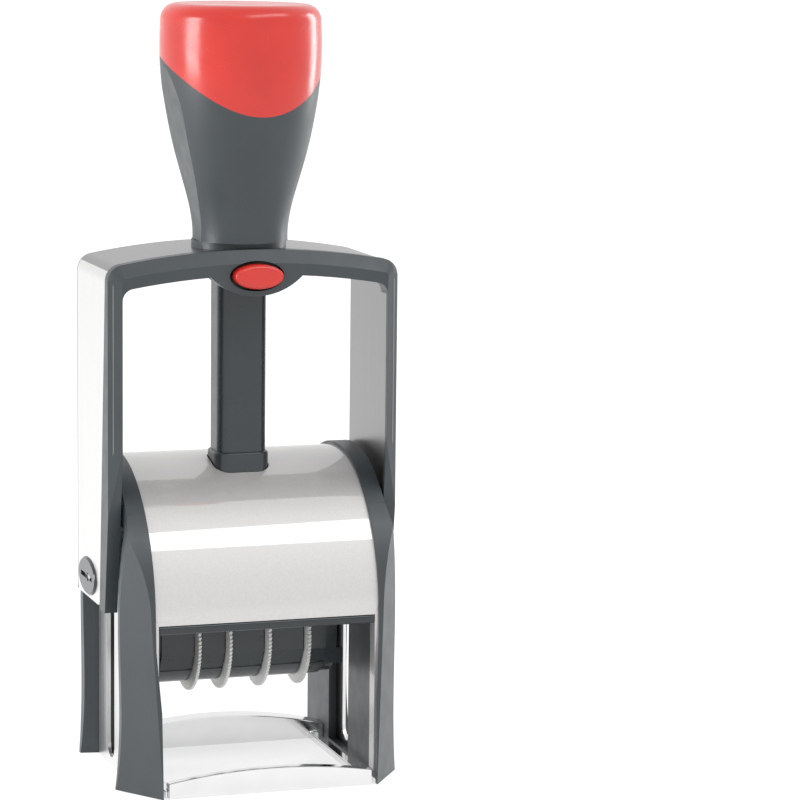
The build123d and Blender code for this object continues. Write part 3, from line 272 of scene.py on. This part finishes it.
LOOK_OF_SLOT = {
    "dark_plastic": dark_plastic,
    "satin_steel": strap_steel_shaded_inside,
    "bright_steel": bright_steel,
    "turned_steel": turned_steel,
    "spring_steel": spring_steel,
    "red_plastic": red_plastic,
    "light_plastic": light_plastic,
    "platen_plastic": platen_plastic,
    "band_rubber": band_rubber,
    "ink_felt": felt,
}
LOOK_OF_NODE = {
    "top_cover": cover_steel,
    "slot_plate_left": plate_steel_shaded_inside,
    "slot_plate_right": plate_steel_shaded_inside,
    "cover_edge_strip": gloss_plastic,
    "bridge": deep_plastic,
    "guide_column": deep_plastic,
    "unit_housing": deep_plastic,
    "unit_cheek_left": deep_plastic,
    "unit_cheek_right": deep_plastic,
    "axle_plug_left": gloss_plastic,
    "axle_plug_right": gloss_plastic,
}


def slot_of(node):
    """The record's material slot of a CAD node."""
    for row in frame["record"]["subparts"]:
        if row["node"] == node:
            return row["material_slot"]
    raise KeyError(node)


def paint(obj, material):
    """Gives every face of a piece one material."""
    obj.data.materials.clear()
    obj.data.materials.append(material)
    for face in obj.data.polygons:
        face.material_index = 0


# =============================================================================
# the CAD nodes: materials and softened edges
# =============================================================================
WELD_DISTANCE = 0.002 * MM
SHARP_ANGLE = 35.0  # degrees between two faces, from which their edge is rounded


def soften(obj, width):
    """Rounds the edges of a piece a little, as moulding and stamping leave them."""
    weld = obj.modifiers.new("weld", "WELD")
    weld.merge_threshold = WELD_DISTANCE
    bevel = obj.modifiers.new("edges", "BEVEL")
    bevel.width = width
    bevel.segments = 2
    bevel.limit_method = "ANGLE"
    bevel.angle_limit = math.radians(SHARP_ANGLE)
    bevel.use_clamp_overlap = True
    normals = obj.modifiers.new("normals", "WEIGHTED_NORMAL")
    normals.keep_sharp = True


EDGE_WIDTH = {
    "dark_plastic": 0.25 * MM,
    "satin_steel": 0.15 * MM,
    "bright_steel": 0.2 * MM,
    "turned_steel": 0.1 * MM,
    "red_plastic": 0.2 * MM,
    "light_plastic": 0.1 * MM,
    "platen_plastic": 0.2 * MM,
    "band_rubber": 0.15 * MM,
}

# these keep the edges of their CAD mesh: thin tips, and the handle's long smooth faces
THIN_EDGED = (
    "side_frame_left",
    "side_frame_right",
    "slot_plate_left",
    "slot_plate_right",
    "handle_grip",
    "handle_cap",
)

for node, obj in frame["nodes"].items():
    slot = slot_of(node)
    paint(obj, LOOK_OF_NODE.get(node, LOOK_OF_SLOT[slot]))
    if slot in EDGE_WIDTH and node not in THIN_EDGED:
        soften(obj, EDGE_WIDTH[slot])

# =============================================================================
# thumb wheels with fine teeth round the disc
# =============================================================================
WHEEL_DISC = 1.2 * MM
WHEEL_HUB_RADIUS = 6.3 * MM
WHEEL_TEETH = 84
POINTS_PER_TOOTH = 4  # two on the tip, two in the gap
WHEEL_TOOTH = 0.45 * MM
WHEEL_BORE_RADIUS = 2.05 * MM
RIM_DEPTH = 2.2 * MM  # from the tips in to where the disc has its full thickness
RIM_SLOPE_DEPTH = 1.0 * MM  # from the tips in to where its slope becomes steeper
RIM_SLOPE_STEP = 0.15 * MM  # how far each face is set back there
TOOTH_STEP = 0.30 * MM  # how far each face is set back at the teeth


def ring(shape, x, centre, radius_at, count):
    """A closed ring of points round the wheel's axis."""
    points = []
    for step in range(count):
        angle = 2.0 * math.pi * step / count
        radius = radius_at(step)
        points.append(
            shape.verts.new(
                (x, centre[0] + radius * math.cos(angle), centre[1] + radius * math.sin(angle))
            )
        )
    return points


def thumb_wheel(node, body):
    """A wheel's toothed disc, its hub and its bore, in place of the plain CAD wheel."""
    low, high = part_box(node)
    centre = ((low.y + high.y) / 2, (low.z + high.z) / 2)
    radius = (high.y - low.y) / 2
    disc_x = high.x - WHEEL_DISC
    count = POINTS_PER_TOOTH * WHEEL_TEETH

    def toothed(step):
        return radius - (WHEEL_TOOTH if step % POINTS_PER_TOOTH in (2, 3) else 0.0)

    def plain(value):
        return lambda step: value

    rings = [
        (low.x, plain(WHEEL_BORE_RADIUS)),
        (low.x, plain(WHEEL_HUB_RADIUS)),
        (disc_x, plain(WHEEL_HUB_RADIUS)),
        (disc_x, plain(radius - RIM_DEPTH)),
        (disc_x + RIM_SLOPE_STEP, plain(radius - RIM_SLOPE_DEPTH)),
        (disc_x + TOOTH_STEP, toothed),
        (high.x - TOOTH_STEP, toothed),
        (high.x - RIM_SLOPE_STEP, plain(radius - RIM_SLOPE_DEPTH)),
        (high.x, plain(radius - RIM_DEPTH)),
        (high.x, plain(WHEEL_BORE_RADIUS)),
    ]
    shape = bmesh.new()
    loops = [ring(shape, x, centre, radius_at, count) for x, radius_at in rings]
    for first, second in zip(loops, loops[1:] + loops[:1]):
        for step in range(count):
            after = (step + 1) % count
            shape.faces.new((first[step], second[step], second[after], first[after]))
    bmesh.ops.recalc_face_normals(shape, faces=shape.faces)
    mesh = bpy.data.meshes.new(f"toothed_{node}")
    shape.to_mesh(mesh)
    shape.free()
    wheel = bpy.data.objects.new(f"toothed_{node}", mesh)
    bpy.context.scene.collection.objects.link(wheel)
    paint(wheel, light_plastic)
    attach(wheel, body)
    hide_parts(node)


for body, rows in frame["record"]["behaviour"]["bodies"].items():
    for node in rows:
        if node.startswith("thumb_wheel_"):
            thumb_wheel(node, body)


UP = Vector((0.0, 0.0, 1.0))
BACK = Vector((0.0, 1.0, 0.0))


def squashed_spring(node, body, axis, fixed_end):
    """A copy of the CAD coil on its seat, in spring steel, carried by the body."""
    low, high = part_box(node)
    anchor = (low + high) / 2
    index = 1 if axis.y else 2
    anchor[index] = high[index] if fixed_end == "high" else low[index]
    spring = bpy.data.objects.new(f"coil_{node}", frame["nodes"][node].data.copy())
    bpy.context.scene.collection.objects.link(spring)
    spring.matrix_world = frame["nodes"][node].matrix_world.copy()
    paint(spring, spring_steel)
    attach(spring, body)
    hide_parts(node)
    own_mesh(spring)


squashed_spring("return_spring", "base", axis=UP, fixed_end="low")
squashed_spring("button_spring", "carriage", axis=BACK, fixed_end="high")

# =============================================================================
# stage: floor, light, camera
# =============================================================================
FLOOR_RADIUS = 12.0
FLOOR_GREY = 0.40
FLOOR_GLOW = 0.66


def grey(level):
    """A neutral colour."""
    return (level, level, level)


def make_floor():
    """A pale round floor that runs out to the white surround."""
    mesh = bpy.data.meshes.new("floor")
    shape = bmesh.new()
    bmesh.ops.create_circle(shape, cap_ends=True, segments=96, radius=FLOOR_RADIUS)
    shape.to_mesh(mesh)
    shape.free()
    floor = bpy.data.objects.new("floor", mesh)
    bpy.context.scene.collection.objects.link(floor)
    look = Shader("floor_paint", grey(FLOOR_GREY), 0.9)
    tone = look.spread(look.noise(4.0), 0.0, 1.0)
    look.link(
        look.blend(tone, grey(FLOOR_GREY - 0.01), grey(FLOOR_GREY + 0.01)),
        look.bsdf.inputs["Base Color"],
    )
    look.set("Emission Color", (1.0, 1.0, 1.0, 1.0))
    look.set("Emission Strength", FLOOR_GLOW)
    paint(floor, look.material)


def make_world():
    """A plain white surround."""
    world = bpy.data.worlds.new("studio")
    bpy.context.scene.world = world
    world.use_nodes = True
    background = world.node_tree.nodes["Background"]
    background.inputs["Color"].default_value = (1.0, 1.0, 1.0, 1.0)
    background.inputs["Strength"].default_value = 1.0


def area_light(name, place, target, size, power):
    """A soft rectangular light aimed at a target."""
    data = bpy.data.lights.new(name, "AREA")
    data.shape = "RECTANGLE"
    data.size, data.size_y = size
    data.energy = power
    light = bpy.data.objects.new(name, data)
    bpy.context.scene.collection.objects.link(light)
    light.location = place
    light.rotation_euler = (Vector(target) - Vector(place)).to_track_quat("-Z", "Y").to_euler()
    return light


YAW, PITCH, ROLL = 18.47, 8.50, -0.63  # degrees: how the object is turned to the camera
CAMERA_DISTANCE = 0.7462
SIGHT_CENTRE = Vector((0.0, 0.0, 0.080))
SIGHT_OFFSET = Vector((-0.03492, 0.00006))  # the object stands left of the picture's middle
LENS = 155.79  # millimetres, as is the sensor
SENSOR = 36.0


def make_camera():
    """A long lens in front, to the left and a little above, level with the object."""
    turn = Matrix.Rotation(math.radians(YAW), 3, "Z")
    tilt = Matrix.Rotation(math.radians(PITCH), 3, "X")
    roll = Matrix.Rotation(-math.radians(ROLL), 3, "Y")
    view = roll @ tilt @ turn
    right, forward, up = view.row[0], view.row[1], view.row[2]
    data = bpy.data.cameras.new("camera")
    data.lens = LENS
    data.sensor_width = SENSOR
    data.clip_start = 0.05
    data.clip_end = 20.0
    camera = bpy.data.objects.new("camera", data)
    bpy.context.scene.collection.objects.link(camera)
    camera.location = (
        SIGHT_CENTRE
        - SIGHT_OFFSET.x * right
        - CAMERA_DISTANCE * forward
        - SIGHT_OFFSET.y * up
    )
    axes = Matrix((right, up, -forward)).transposed()
    camera.rotation_euler = axes.to_euler()
    bpy.context.scene.camera = camera


make_floor()
make_world()
make_camera()
# a strip of light that the cover's coat mirrors as one crisp white band
area_light("strip", place=(0.33, -0.57, 0.89), target=(0.0, -0.02, 0.05), size=(1.1, 0.27), power=3.6)
OBJECT_MIDDLE = (0.0, 0.0, 0.09)
area_light("left_fill", place=(-0.95, 0.10, 0.20), target=OBJECT_MIDDLE, size=(0.35, 0.6), power=6.0)
area_light("right_rim", place=(0.85, 0.35, 0.25), target=OBJECT_MIDDLE, size=(0.25, 0.6), power=3.0)
bpy.context.scene.view_settings.view_transform = "Standard"
